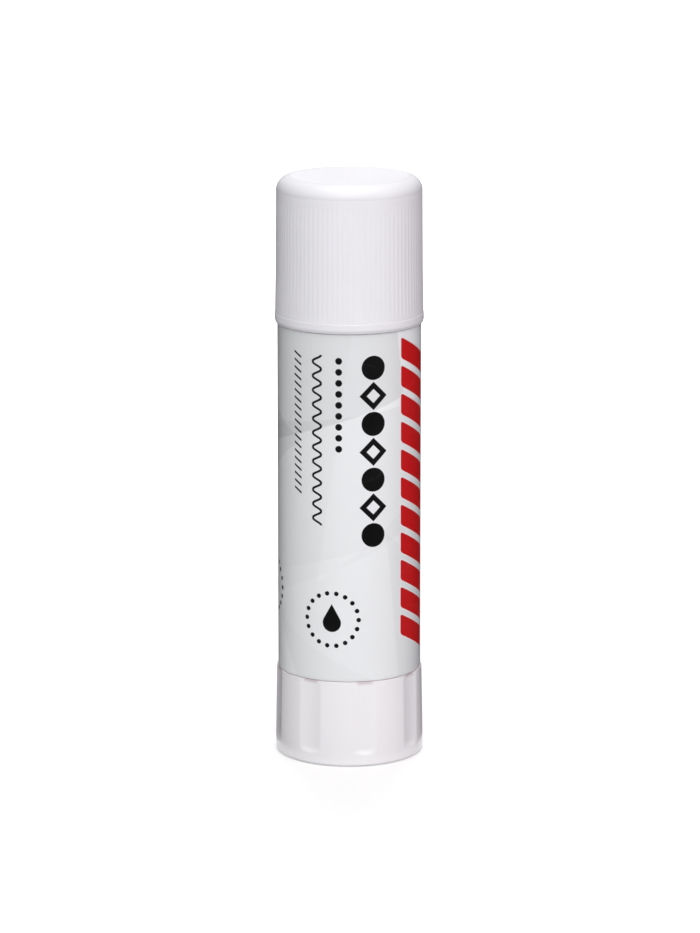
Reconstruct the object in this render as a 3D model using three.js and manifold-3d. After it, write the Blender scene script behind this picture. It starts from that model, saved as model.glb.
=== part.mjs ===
// Twist-up glue stick
// It stands on its knob with the cap on and the glue wound down. +Z is up, -Y is the front, and the
// origin is the centre of the knob's foot. Lengths are in millimetres and angles in degrees. An angle
// round the stick is counted from the front, positive towards the viewer's right, which is +X.

import * as THREE from 'three';
import { mergeVertices, toCreasedNormals } from 'three/addons/utils/BufferGeometryUtils.js';
import Module from 'manifold-3d';

const wasm = await Module();
wasm.setup();

// Clearances
const restGap = 0.3; // between pieces that rest on, slide in or turn in each other
const capFit = 0.5; // between the neck and the inside of the cap
const labelGap = 0.15; // between the barrel and the film wrapped round it

// Barrel
const boreRadius = 10.8;
const neckWall = 1.0;
const neckHeight = 15.5; // how far the neck stands above the barrel's upper shoulder
const neckBead = 0.25; // how far the snap bead stands out from the neck
const neckBeadRise = 3.0; // from the upper shoulder to the middle of the snap bead
const neckBeadHeight = 1.2;
const mouthEdge = 0.3; // bevels of the neck's mouth
const bodyWall = 1.9;
const bodyLength = 63.35; // between the barrel's two shoulders
const floorThickness = 1.4;
const tailStep = 1.5; // how far the barrel steps in where it enters the knob
const tailWall = 1.0;
const tailFootGap = 1.5; // between the tail's foot and the knob's floor
const tailBead = 0.5; // how far the tail's snap bead stands out
const tailBeadHeight = 1.2;
const guideRibCount = 4;
const guideRibDepth = 0.5;
const guideRibWidth = 1.2;
const guideRibBelowMouth = 1.0;

// Label
const labelThickness = 0.15;
const labelInset = 0.15; // from each shoulder of the barrel to the film's edge

// Knob
const knobHeight = 15.85;
const knobWall = 1.22; // at the top rim, between the flutes
const knobFlare = 0.24; // how much wider the foot is than the top rim
const knobFloor = 1.4;
const footRecess = 0.6;
const footRingWidth = 2.2;
const footBandHeight = 2.2; // plain band below the flutes
const footEdge = 0.4;
const knobRimEdge = 0.25;
const snapDrop = 5.6; // from the knob's top rim down to its snap ridge
const snapRidgeHeight = 1.0;
const fluteCount = 8;
const fluteFirstAngle = 12.4;
const fluteRadius = 9.0;
const fluteDepth = 0.45;
const fluteRunout = 1.5; // height over which a flute comes back out to the surface
const hubRadius = 4.6;
const webCount = 4;
const webThickness = 1.0;
const webHeight = 4.0;

// Spindle
const lead = 6.0; // rise of the thread in one turn
const threadCoreRadius = 2.2;
const threadCrestRadius = 3.2;
const threadCrestWidth = 1.2;
const threadFlankWidth = 0.8;
const journalRadius = 3.0;
const tailSquare = 4.0;
const flangeRadius = 5.5;
const flangeThickness = 1.2;
const spindleBelowMouth = 9.0;
const spindleTip = 0.8; // bevel of the spindle's top end

// Carrier
const sleeveRadius = 5.0;
const sleeveLength = 8.0;
const cupFloor = 1.2;
const cupWall = 1.3;
const cupDepth = 6.0;
const gussetCount = 4;
const gussetThickness = 1.0;
const gussetHeight = 5.0;
const gussetReach = 3.6; // how far a gusset runs out from the sleeve
const finCount = 4;
const finThickness = 0.8;
const finReach = 1.4; // how far a fin stands in from the cup's wall
const finHeight = 4.0;

// Glue
const glueBelowMouth = 1.5;
const glueTopEdge = 1.0;
const glueHoleHeadroom = 1.0; // above the spindle's top end

// Cap
const capHeight = 26.5;
const capWall = 0.83; // at the top of the cap's side
const capCeiling = 1.3;
const capTopEdge = 2.5;
const capInsideEdge = 0.5; // bevel between the cap's wall and ceiling, inside
const capWaistHeight = 9.8; // above the rim: below it the cap flares out
const capWaistStep = 0.11; // how much wider the waist is than the top
const capFlare = 0.22; // how much wider the rim is than the waist
const capRimBand = 1.7;
const capRimEdge = 0.5;
const capSnapRidge = 0.15; // how far the snap ridge stands in from the cap's wall
const capSnapRidgeHeight = 1.0;
const capRibCount = 90;
const capRibHeight = 0.12;
const capRibBelowEdge = 1.0; // plain strip between the ribs and the rounded top edge

// Levels, from the knob's foot upwards
const knobFloorTop = footRecess + knobFloor;
const lowerShoulder = knobHeight + restGap;
const floorTop = lowerShoulder + floorThickness;
const upperShoulder = lowerShoulder + bodyLength;
const neckTop = upperShoulder + neckHeight;
const neckBeadMiddle = upperShoulder + neckBeadRise;
const flangeBottom = floorTop + restGap;
const flangeTop = flangeBottom + flangeThickness;
const sleeveBottom = flangeTop + restGap;
const cupFloorBottom = sleeveBottom + sleeveLength;
const cupFloorTop = cupFloorBottom + cupFloor;
const cupRim = cupFloorTop + cupDepth;
const spindleTop = neckTop - spindleBelowMouth;
const capRim = upperShoulder + restGap;
const capTop = capRim + capHeight;
const snapLevel = knobHeight - snapDrop;

// Radii, from the bore outwards
const neckRadius = boreRadius + neckWall;
const capBoreRadius = neckRadius + capFit;
const capTopRadius = capBoreRadius + capWall;
const capWaistRadius = capTopRadius + capWaistStep;
const capRimRadius = capWaistRadius + capFlare;
const bodyRadius = boreRadius + bodyWall;
const labelInnerRadius = bodyRadius + labelGap;
const labelOuterRadius = labelInnerRadius + labelThickness;
const tailRadius = bodyRadius - tailStep;
const tailBoreRadius = tailRadius - tailWall;
const knobBoreRadius = tailRadius + tailBead + restGap;
const knobRidgeRadius = tailRadius + restGap;
const knobTopRadius = knobBoreRadius + knobWall;
const knobFootRadius = knobTopRadius + knobFlare;
const cupRadius = boreRadius - restGap;
const cupBoreRadius = cupRadius - cupWall;
const guideRibInnerRadius = boreRadius - guideRibDepth;
const guideNotchRadius = guideRibInnerRadius - restGap;

// Facets
const shownFacets = 60;
const hiddenFacets = 48;
const threadFacets = 16;
const smallArcSteps = 3;
const largeArcSteps = 6;
const embed = 0.2; // how far joined solids reach into each other
const creaseAngle = THREE.MathUtils.degToRad(30); // sharper edges are shaded as edges

// Points and outlines

function point(radius, height) {
  return new THREE.Vector2(radius, height);
}

// Points of an arc in the plane of radius and height, from one angle to another
function arc(centre, radius, fromAngle, toAngle, steps) {
  return Array.from({ length: steps + 1 }, (_, i) => {
    const angle = THREE.MathUtils.degToRad(THREE.MathUtils.lerp(fromAngle, toAngle, i / steps));
    return point(centre.x + radius * Math.cos(angle), centre.y + radius * Math.sin(angle));
  });
}

// Geometry round the stick's axis

// A turned body: its outline starts and ends on the axis, or closes on itself as a ring
function turned(outline, facets) {
  const lathe = new THREE.LatheGeometry(outline, facets);
  return toSolid(lathe.rotateX(Math.PI / 2));
}

function turnedRing(outline, facets) {
  return turned([...outline, outline[0].clone()], facets);
}

// A flat plate that stands radially: its outline is in radius and height
function radialPlate(outline, thickness, angle) {
  const plate = new THREE.ExtrudeGeometry(new THREE.Shape(outline), {
    depth: thickness,
    bevelEnabled: false,
  });
  plate.translate(0, 0, -thickness / 2);
  plate.rotateX(Math.PI / 2);
  plate.rotateZ(THREE.MathUtils.degToRad(angle - 90));
  return toSolid(plate);
}

// A low ridge with sloped flanks on a wall, inwards where its depth is negative
function ridgeOutline(wallRadius, middle, height, depth) {
  const foot = height / 2;
  const crest = foot - Math.abs(depth);
  return [
    point(wallRadius, middle - foot),
    point(wallRadius + depth, middle - crest),
    point(wallRadius + depth, middle + crest),
    point(wallRadius, middle + foot),
  ];
}

function block(innerRadius, outerRadius, low, high) {
  return [
    point(innerRadius, low),
    point(outerRadius, low),
    point(outerRadius, high),
    point(innerRadius, high),
  ];
}

// Copies of a radial plate at even steps round the axis, as one solid
function platesRound(count, firstAngle, outline, thickness) {
  return joined(
    Array.from({ length: count }, (_, i) =>
      radialPlate(outline, thickness, firstAngle + (i * 360) / count),
    ),
  );
}

// A left-handed screw whose ridge has flat flanks. It runs past both heights, so it is meant to be
// trimmed. A column of points climbs by one lead in one clockwise turn, so that the grid of faces
// follows the ridge: each column has four points a lead, two at the ridge's foot and two at its crest.
function screw(coreRadius, crestRadius, crestWidth, flankWidth, low, high) {
  const crest = crestWidth / 2;
  const foot = crest + flankWidth;
  const ridge = [
    point(coreRadius, -foot),
    point(crestRadius, -crest),
    point(crestRadius, crest),
    point(coreRadius, foot),
  ];
  const perLead = ridge.length;
  const start = (Math.floor(low / lead) - 1) * lead;
  const rows = (Math.ceil((high - start) / lead) + 1) * perLead;
  const positions = [];
  const columns = [];
  for (let column = 0; column < threadFacets; column += 1) {
    const turn = column / threadFacets;
    const rowCount = column === 0 ? rows + perLead + 1 : rows + 1;
    columns.push([]);
    for (let row = 0; row < rowCount; row += 1) {
      const corner = ridge[row % perLead];
      const height = start + (Math.floor(row / perLead) + turn) * lead + corner.y;
      columns[column].push(positions.length / 3);
      positions.push(
        corner.x * Math.cos(-turn * 2 * Math.PI),
        corner.x * Math.sin(-turn * 2 * Math.PI),
        height,
      );
    }
  }
  // The last column joins the first one, a lead higher up
  const at = (column, row) =>
    column === threadFacets ? columns[0][row + perLead] : columns[column][row];
  const faces = [];
  for (let column = 0; column < threadFacets; column += 1) {
    for (let row = 0; row < rows; row += 1) {
      const near = at(column, row);
      const far = at(column + 1, row + 1);
      faces.push(near, at(column, row + 1), far);
      faces.push(near, far, at(column + 1, row));
    }
  }
  const bottomLoop = [];
  const topLoop = [];
  for (let column = 0; column < threadFacets; column += 1) {
    bottomLoop.push(at(column, 0));
    topLoop.unshift(at(column, rows));
  }
  for (let row = perLead; row > 0; row -= 1) {
    bottomLoop.push(columns[0][row]);
    topLoop.unshift(columns[0][rows + row]);
  }
  closeEnd(positions, faces, bottomLoop, start - lead);
  closeEnd(positions, faces, topLoop, start + (rows / perLead + 2) * lead);
  const geometry = new THREE.BufferGeometry();
  geometry.setAttribute('position', new THREE.Float32BufferAttribute(positions, 3));
  geometry.setIndex(faces);
  return toSolid(geometry);
}

// Faces from a loop of points to a point on the axis
function closeEnd(positions, faces, loop, height) {
  const tip = positions.length / 3;
  positions.push(0, 0, height);
  loop.forEach((corner, i) => {
    faces.push(corner, loop[(i + 1) % loop.length], tip);
  });
}

// Solids and meshes

// A closed geometry as a solid that can be joined and cut
function toSolid(geometry) {
  const bare = geometry.clone();
  bare.deleteAttribute('normal');
  bare.deleteAttribute('uv');
  const merged = mergeVertices(bare);
  const index = merged.index.array;
  const triangles = [];
  for (let i = 0; i < index.length; i += 3) {
    const [a, b, c] = [index[i], index[i + 1], index[i + 2]];
    if (a !== b && b !== c && c !== a) triangles.push(a, b, c);
  }
  return new wasm.Manifold(
    new wasm.Mesh({
      numProp: 3,
      vertProperties: new Float32Array(merged.attributes.position.array),
      triVerts: new Uint32Array(triangles),
    }),
  );
}

function joined(solids) {
  return solids.reduce((sum, solid) => sum.add(solid));
}

function namedMesh(name, solid, material) {
  const { vertProperties, triVerts } = solid.getMesh();
  const indexed = new THREE.BufferGeometry();
  indexed.setAttribute('position', new THREE.BufferAttribute(vertProperties, 3));
  indexed.setIndex(new THREE.BufferAttribute(triVerts, 1));
  const mesh = new THREE.Mesh(toCreasedNormals(indexed, creaseAngle), material);
  mesh.name = name;
  return mesh;
}

// Cap: a cup with a rounded top edge, a flared rim band and fine upright ribs

// Outer radius of the cap's plain side at a height above its rim
function capRadiusAt(height) {
  if (height < capWaistHeight) {
    return THREE.MathUtils.mapLinear(height, capRimBand, capWaistHeight, capRimRadius, capWaistRadius);
  }
  const sideHeight = capHeight - capTopEdge;
  return THREE.MathUtils.mapLinear(height, capWaistHeight, sideHeight, capWaistRadius, capTopRadius);
}

// Point on the cap's side, a little way in from the plain surface
function capSide(height, depth) {
  return point(capRadiusAt(height) - depth, capRim + height);
}

// The ring of ribs: every other station of a turned ring is drawn in to make a valley
function makeRibRing(low, high) {
  const inside = capRibHeight + embed; // deeper than the valleys
  const crests = [capSide(low, 0), capSide(capWaistHeight, 0), capSide(high, 0)];
  const outline = [
    capSide(low, inside),
    ...crests,
    capSide(high, inside),
    capSide(high + embed, inside),
    capSide(high + embed, 2 * inside),
    capSide(low - embed, 2 * inside),
    capSide(low - embed, inside),
    capSide(low, inside),
  ];
  const ring = new THREE.LatheGeometry(outline, 2 * capRibCount);
  const position = ring.attributes.position;
  for (let valley = 1; valley < 2 * capRibCount; valley += 2) {
    crests.forEach((crest, i) => {
      const vertex = valley * outline.length + 1 + i;
      const drawnIn = 1 - capRibHeight / crest.x;
      position.setX(vertex, position.getX(vertex) * drawnIn);
      position.setZ(vertex, position.getZ(vertex) * drawnIn);
    });
  }
  return toSolid(ring.rotateX(Math.PI / 2));
}

function makeCap() {
  const ribLow = capRimBand;
  const ribHigh = capHeight - capTopEdge - capRibBelowEdge;
  const core = capRibHeight + 1.5 * embed; // where the ring of ribs sits on the shell
  const rimEdgeCentre = point(capRimRadius - capRimEdge, capRim + capRimEdge);
  const topEdgeCentre = point(capTopRadius - capTopEdge, capTop - capTopEdge);
  const shell = turned(
    [
      point(0, capRim),
      ...arc(rimEdgeCentre, capRimEdge, -90, 0, smallArcSteps),
      capSide(ribLow, 0),
      capSide(ribLow, core),
      capSide(capWaistHeight, core),
      capSide(ribHigh, core),
      capSide(ribHigh, 0),
      ...arc(topEdgeCentre, capTopEdge, 0, 90, largeArcSteps),
      point(0, capTop),
    ],
    shownFacets,
  );
  const ridgeMiddle = neckBeadMiddle - (neckBeadHeight + capSnapRidgeHeight) / 2 - restGap;
  const hollow = turned(
    [
      point(0, capRim - embed),
      point(capBoreRadius, capRim - embed),
      ...ridgeOutline(capBoreRadius, ridgeMiddle, capSnapRidgeHeight, -capSnapRidge),
      point(capBoreRadius, capTop - capCeiling - capInsideEdge),
      point(capBoreRadius - capInsideEdge, capTop - capCeiling),
      point(0, capTop - capCeiling),
    ],
    hiddenFacets,
  );
  return shell.add(makeRibRing(ribLow, ribHigh)).subtract(hollow);
}

// Barrel: a tube with a neck for the cap, a floor for the spindle and a tail for the knob
function makeBarrel() {
  const tailBottom = knobFloorTop + tailFootGap;
  const tailBeadTop = snapLevel - restGap / 2;
  const tailBeadBottom = tailBeadTop - tailBeadHeight;
  const tube = turnedRing(
    [
      point(journalRadius + restGap, lowerShoulder),
      point(tailBoreRadius, lowerShoulder),
      point(tailBoreRadius, tailBottom),
      point(tailRadius, tailBottom),
      point(tailRadius, tailBeadBottom - tailBead),
      point(tailRadius + tailBead, tailBeadBottom),
      point(tailRadius + tailBead, tailBeadTop),
      point(tailRadius, tailBeadTop),
      point(tailRadius, lowerShoulder),
      point(bodyRadius, lowerShoulder),
      point(bodyRadius, upperShoulder),
      point(neckRadius, upperShoulder),
      ...ridgeOutline(neckRadius, neckBeadMiddle, neckBeadHeight, neckBead),
      point(neckRadius, neckTop - mouthEdge),
      point(neckRadius - mouthEdge, neckTop),
      point(boreRadius + mouthEdge, neckTop),
      point(boreRadius, neckTop - mouthEdge),
      point(boreRadius, floorTop),
      point(journalRadius + restGap, floorTop),
    ],
    hiddenFacets,
  );
  const guideRib = block(
    guideRibInnerRadius,
    boreRadius + embed,
    floorTop - embed,
    neckTop - guideRibBelowMouth,
  );
  return tube.add(platesRound(guideRibCount, 180 / guideRibCount, guideRib, guideRibWidth));
}

// Grooves that clear the barrel's guide ribs, for the carrier and the glue
function guideGrooves() {
  const groove = block(guideNotchRadius, boreRadius + embed, floorTop, neckTop);
  return platesRound(guideRibCount, 180 / guideRibCount, groove, guideRibWidth + 2 * restGap);
}

// Label: a film wrapped round the barrel between its shoulders
function makeLabel() {
  return turnedRing(
    block(labelInnerRadius, labelOuterRadius, lowerShoulder + labelInset, upperShoulder - labelInset),
    shownFacets,
  );
}

// Knob: a fluted cup with a hub that grips the spindle and a ridge that snaps over the barrel's bead
function makeKnob() {
  const footCentre = point(knobFootRadius - footEdge, footEdge);
  const rimCentre = point(knobTopRadius - knobRimEdge, knobHeight - knobRimEdge);
  const outside = turned(
    [
      point(0, footRecess),
      point(knobFootRadius - footEdge - footRingWidth, footRecess),
      point(knobFootRadius - footEdge - footRingWidth, 0),
      ...arc(footCentre, footEdge, -90, 0, smallArcSteps),
      point(knobFootRadius, footBandHeight),
      ...arc(rimCentre, knobRimEdge, 0, 90, smallArcSteps),
      point(0, knobHeight),
    ],
    shownFacets,
  );
  const ridgeBottom = snapLevel + restGap / 2;
  const ridgeTop = ridgeBottom + snapRidgeHeight;
  const ridgeLead = knobBoreRadius - knobRidgeRadius;
  const hollow = turnedRing(
    [
      point(hubRadius, knobFloorTop),
      point(knobBoreRadius, knobFloorTop),
      point(knobBoreRadius, ridgeBottom),
      point(knobRidgeRadius, ridgeBottom),
      point(knobRidgeRadius, ridgeTop),
      point(knobBoreRadius, ridgeTop + ridgeLead),
      point(knobBoreRadius, knobHeight + embed),
      point(hubRadius, knobHeight + embed),
    ],
    hiddenFacets,
  );
  const web = block(
    hubRadius - embed,
    tailBoreRadius - restGap,
    knobFloorTop - embed,
    knobFloorTop + webHeight,
  );
  const webs = platesRound(webCount, 180 / webCount, web, webThickness);
  const socketSide = tailSquare + 2 * restGap;
  const socketDepth = knobHeight + embed - knobFloorTop;
  const socket = new THREE.BoxGeometry(socketSide, socketDepth, socketSide);
  socket.rotateX(Math.PI / 2);
  socket.translate(0, 0, knobFloorTop + socketDepth / 2);
  return outside.subtract(hollow).add(webs).subtract(toSolid(socket)).subtract(flutes());
}

// Scoops that cut the knob's flutes: each leans with the knob's side, and its lower end is a cone
// that brings the flute back out to the surface just above the foot band
function flutes() {
  const coneDepth = 3 * fluteDepth; // deep enough for the cone to leave the knob's side
  const coneTop = footBandHeight + fluteRunout;
  const coneBottom = coneTop - (coneDepth * fluteRunout) / fluteDepth;
  const scoopTop = knobHeight + fluteRunout;
  const lean = Math.atan2(knobFlare, knobHeight - footBandHeight);
  const scoops = Array.from({ length: fluteCount }, (_, i) => {
    const scoop = new THREE.LatheGeometry(
      [
        point(0, coneBottom),
        point(fluteRadius - coneDepth, coneBottom),
        point(fluteRadius, coneTop),
        point(fluteRadius, scoopTop),
        point(0, scoopTop),
      ],
      hiddenFacets,
    );
    scoop.rotateX(Math.PI / 2);
    scoop.translate(0, 0, -coneTop);
    scoop.rotateY(-lean);
    scoop.translate(knobFootRadius - fluteDepth + fluteRadius, 0, coneTop);
    const angle = fluteFirstAngle + (i * 360) / fluteCount;
    scoop.rotateZ(THREE.MathUtils.degToRad(angle - 90));
    return toSolid(scoop);
  });
  return joined(scoops);
}

// Spindle: a screw with a flange on the barrel's floor and a square tail in the knob's hub
function makeSpindle() {
  const ridge = screw(
    threadCoreRadius,
    threadCrestRadius,
    threadCrestWidth,
    threadFlankWidth,
    flangeTop,
    spindleTop,
  );
  const envelope = turned(
    [
      point(0, flangeTop - embed),
      point(flangeRadius, flangeTop - embed),
      point(flangeRadius, spindleTop - flangeRadius),
      point(threadCrestRadius, spindleTop - spindleTip),
      point(threadCrestRadius - spindleTip, spindleTop),
      point(0, spindleTop),
    ],
    hiddenFacets,
  );
  const shank = turned(
    [
      point(0, lowerShoulder),
      point(journalRadius, lowerShoulder),
      point(journalRadius, flangeBottom),
      point(flangeRadius, flangeBottom),
      point(flangeRadius, flangeTop),
      point(0, flangeTop),
    ],
    hiddenFacets,
  );
  const tailBottom = knobFloorTop + restGap;
  const tailLength = lowerShoulder + embed - tailBottom;
  const tail = new THREE.BoxGeometry(tailSquare, tailLength, tailSquare);
  tail.rotateX(Math.PI / 2);
  tail.translate(0, 0, tailBottom + tailLength / 2);
  return ridge.intersect(envelope).add(shank).add(toSolid(tail));
}

// Carrier: a cup on a threaded sleeve, notched to the guide ribs
function makeCarrier() {
  const cup = turned(
    [
      point(0, sleeveBottom),
      point(sleeveRadius, sleeveBottom),
      point(sleeveRadius, cupFloorBottom),
      point(cupRadius, cupFloorBottom),
      point(cupRadius, cupRim),
      point(cupBoreRadius, cupRim),
      point(cupBoreRadius, cupFloorTop),
      point(0, cupFloorTop),
    ],
    hiddenFacets,
  );
  const gusset = [
    point(sleeveRadius - embed, cupFloorBottom - gussetHeight),
    point(sleeveRadius + gussetReach, cupFloorBottom - embed),
    point(sleeveRadius + gussetReach, cupFloorBottom + embed),
    point(sleeveRadius - embed, cupFloorBottom + embed),
  ];
  const fin = finOutline(0);
  const nut = screw(
    threadCoreRadius + restGap,
    threadCrestRadius + restGap,
    threadCrestWidth + 2 * restGap,
    threadFlankWidth,
    sleeveBottom,
    cupFloorTop,
  );
  return cup
    .add(platesRound(gussetCount, 0, gusset, gussetThickness))
    .add(platesRound(finCount, 0, fin, finThickness))
    .subtract(guideGrooves())
    .subtract(nut);
}

// A fin inside the carrier's cup that keeps the glue from turning, or the glue's slot for it
function finOutline(clearance) {
  return block(
    cupBoreRadius - finReach - clearance,
    cupBoreRadius + embed,
    cupFloorTop - embed,
    cupFloorTop + finHeight + clearance,
  );
}

// Glue: a column cast in the cup and the bore, with a blind hole over the spindle
function makeGlue() {
  const holeRadius = threadCrestRadius + restGap;
  const holeTop = spindleTop + glueHoleHeadroom;
  const columnRadius = boreRadius - restGap;
  const plugRadius = cupBoreRadius - restGap;
  const glueTop = neckTop - glueBelowMouth;
  const topEdgeCentre = point(columnRadius - glueTopEdge, glueTop - glueTopEdge);
  const column = turned(
    [
      point(0, holeTop),
      point(holeRadius, holeTop),
      point(holeRadius, cupFloorTop + restGap),
      point(plugRadius, cupFloorTop + restGap),
      point(plugRadius, cupRim + restGap),
      point(columnRadius, cupRim + restGap),
      ...arc(topEdgeCentre, glueTopEdge, 0, 90, smallArcSteps),
      point(0, glueTop),
    ],
    hiddenFacets,
  );
  const finSlots = platesRound(finCount, 0, finOutline(restGap), finThickness + 2 * restGap);
  return column.subtract(guideGrooves()).subtract(finSlots);
}

// Materials

function plastic(colour, roughness) {
  return new THREE.MeshStandardMaterial({ color: colour, roughness, metalness: 0 });
}

const capPlastic = plastic(0xeeebf3, 0.35);
const knobPlastic = plastic(0xebe7f0, 0.35);
const barrelPlastic = plastic(0xf3f2f4, 0.4);
const labelFilm = plastic(0xd5d7db, 0.45);
const spindlePlastic = plastic(0xf0efe9, 0.4);
const carrierPlastic = plastic(0xf2f2f0, 0.4);
const gluePaste = plastic(0xf4f1e6, 0.6);

// The stick: the knob turns the spindle, which lifts the carrier and the glue

const barrelGroup = new THREE.Group();
barrelGroup.add(namedMesh('barrel', makeBarrel(), barrelPlastic));
barrelGroup.add(namedMesh('label', makeLabel(), labelFilm));

const knobGroup = new THREE.Group();
knobGroup.add(namedMesh('knob', makeKnob(), knobPlastic));
knobGroup.add(namedMesh('spindle', makeSpindle(), spindlePlastic));

const carrierGroup = new THREE.Group();
carrierGroup.add(namedMesh('carrier', makeCarrier(), carrierPlastic));
carrierGroup.add(namedMesh('glue', makeGlue(), gluePaste));

const glueStick = new THREE.Group();
glueStick.add(barrelGroup, knobGroup, carrierGroup);
glueStick.add(namedMesh('cap', makeCap(), capPlastic));

export default glueStick;
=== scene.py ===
import math
import bpy
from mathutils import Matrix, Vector


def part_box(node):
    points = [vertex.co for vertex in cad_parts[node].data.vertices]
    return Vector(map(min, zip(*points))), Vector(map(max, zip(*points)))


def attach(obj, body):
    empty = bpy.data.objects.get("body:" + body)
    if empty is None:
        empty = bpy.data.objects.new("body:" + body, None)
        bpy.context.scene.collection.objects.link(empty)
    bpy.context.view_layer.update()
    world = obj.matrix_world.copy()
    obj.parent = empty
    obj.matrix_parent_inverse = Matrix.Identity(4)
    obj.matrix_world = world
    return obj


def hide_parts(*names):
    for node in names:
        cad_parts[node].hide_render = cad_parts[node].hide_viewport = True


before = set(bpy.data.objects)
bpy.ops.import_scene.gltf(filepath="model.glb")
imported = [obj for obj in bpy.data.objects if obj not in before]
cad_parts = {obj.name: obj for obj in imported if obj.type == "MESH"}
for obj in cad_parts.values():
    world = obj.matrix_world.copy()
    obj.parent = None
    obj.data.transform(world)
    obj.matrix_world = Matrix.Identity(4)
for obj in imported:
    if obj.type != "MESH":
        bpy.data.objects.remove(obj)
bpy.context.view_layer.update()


# Barrel
# One moulding of white plastic. Its narrow neck takes the cap, four guide ribs in the bore keep the
# carrier from turning, and the bead on its tail snaps into the knob.

MM = 0.001
FULL_TURN = 2 * math.pi


def soften(corners, closed, longest_run=1.0):
    """The outline of a turned piece, from corners given as radius, height, rounding and skin in
    millimetres. Its corners are rounded, with a short step beside each so that flat walls shade
    flat. Skin is 1 where ribs, flutes or grooves are pressed in, and -1 where a thread runs, and
    only such runs are divided finely. Edge goes from 0 on a straight run to 1 on a sharp corner."""
    widest_step, longest_step = math.radians(14), 0.3
    sharp_turn, beside_corner = math.radians(45), 0.08
    rounded = []
    for i, (radius, height, rounding, skin) in enumerate(corners):
        here = Vector((radius, height))
        if rounding == 0 or not closed and i in (0, len(corners) - 1):
            rounded.append((here, skin, 0.0))
            continue
        back = Vector(corners[i - 1][:2]) - here
        ahead = Vector(corners[(i + 1) % len(corners)][:2]) - here
        turn = math.pi - back.angle(ahead)
        reach = min(rounding * math.tan(turn / 2), 0.48 * back.length, 0.48 * ahead.length)
        arc_radius = reach / math.tan(turn / 2)
        inward = (back.normalized() + ahead.normalized()).normalized()
        centre = here + inward * arc_radius / math.cos(turn / 2)
        spoke = here + back.normalized() * reach - centre
        last = here + ahead.normalized() * reach - centre
        start = math.atan2(spoke.y, spoke.x)
        sweep = (math.atan2(last.y, last.x) - start + math.pi) % FULL_TURN - math.pi
        swept = abs(sweep)
        edge = min(swept / sharp_turn, 1.0)
        steps = math.ceil(max(2, swept / widest_step, swept * arc_radius / longest_step))
        for step in range(steps + 1):
            angle = start + sweep * step / steps
            on_arc = centre + arc_radius * Vector((math.cos(angle), math.sin(angle)))
            rounded.append((on_arc, skin, edge))
    outline = []
    for i, (here, skin, edge) in enumerate(rounded):
        outline.append((here.x, here.y, skin, edge))
        if i == len(rounded) - 1 and not closed:
            break
        ahead, ahead_skin, _ = rounded[(i + 1) % len(rounded)]
        run = (ahead - here).length
        pieces = math.ceil(run / longest_run) if skin or ahead_skin else 1
        shares = [piece / pieces for piece in range(1, pieces)]
        if run > 0.5:
            shares = [beside_corner / run, *shares, 1 - beside_corner / run]
        for share in shares:
            between = here.lerp(ahead, share)
            outline.append((between.x, between.y, skin + (ahead_skin - skin) * share, 0.0))
    return outline


def put_in_scene(name, data):
    holder = bpy.data.objects.new(name, data)
    bpy.context.scene.collection.objects.link(holder)
    return holder


def meshed(name, points, faces):
    mesh = bpy.data.meshes.new(name)
    mesh.from_pydata(points, [], faces)
    return put_in_scene(name, mesh)


def turned(name, outline, closed, columns, shape=None):
    """A mesh turned from an outline, with its seam at the back. Angles count from the front,
    towards +X. Where a shape is given, it bends the radius for each angle, as on a square hole."""
    points, skins, edges, rings = [], [], [], []
    for radius, height, skin, edge in outline:
        on_axis = radius < 1e-6
        rings.append([])
        for column in range(1 if on_axis else columns):
            angle = math.pi + FULL_TURN * column / columns
            bent = shape(radius, height, angle) if shape else radius
            rings[-1].append(len(points))
            points.append((bent * math.sin(angle) * MM, -bent * math.cos(angle) * MM, height * MM))
            skins.append(skin)
            edges.append(edge)
    faces, wrap = [], []
    for i in range(len(rings) if closed else len(rings) - 1):
        low, high = rings[i], rings[(i + 1) % len(rings)]
        for column in range(columns):
            last = column + 1
            face = []
            for ring, place, row in (
                (low, column, i), (low, last, i), (high, last, i + 1), (high, column, i + 1)
            ):
                point = ring[0] if len(ring) == 1 else ring[place % columns]
                if point not in face:
                    face.append(point)
                    wrap.append((place / columns, row / len(rings)))
            faces.append(face)
    piece = meshed(name, points, faces)
    for mark, values in (("skin", skins), ("edge", edges)):
        piece.data.attributes.new(mark, "FLOAT", "POINT").data.foreach_set("value", values)
    piece.data.uv_layers.new(name="wrap").data.foreach_set("uv", [c for uv in wrap for c in uv])
    piece.data.shade_smooth()
    return piece


def feed(tree, socket, value):
    """Links an input to another node's output, or sets its value."""
    if isinstance(value, bpy.types.NodeSocket):
        tree.links.new(value, socket)
    elif value is not None:
        socket.default_value = value


def add_node(tree, kind, *inputs, **settings):
    """Puts a node in a tree, with its settings, and feeds its inputs in order."""
    node = tree.nodes.new(kind)
    for setting, value in settings.items():
        setattr(node, setting, value)
    for socket, value in zip(node.inputs, inputs):
        feed(tree, socket, value)
    return node


def feed_named(tree, node, inputs):
    for name, value in inputs.items():
        feed(tree, node.inputs[name], value)


def calc(tree, operation, *inputs):
    return add_node(tree, "ShaderNodeMath", *inputs, operation=operation).outputs[0]


def times(tree, first, second):
    return calc(tree, "MULTIPLY", first, second)


def minus(tree, first, second):
    return calc(tree, "SUBTRACT", first, second)


def larger(tree, first, second):
    return calc(tree, "MAXIMUM", first, second)


def vector_calc(tree, operation, *inputs):
    outputs = add_node(tree, "ShaderNodeVectorMath", *inputs, operation=operation).outputs
    return outputs["Value"] if operation in ("DOT_PRODUCT", "LENGTH") else outputs[0]


def smooth_step(tree, value, start, end, at_start=0.0, at_end=1.0):
    ramp = add_node(tree, "ShaderNodeMapRange", value, start, end, at_start, at_end,
                    interpolation_type="SMOOTHSTEP")
    return ramp.outputs[0]


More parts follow.
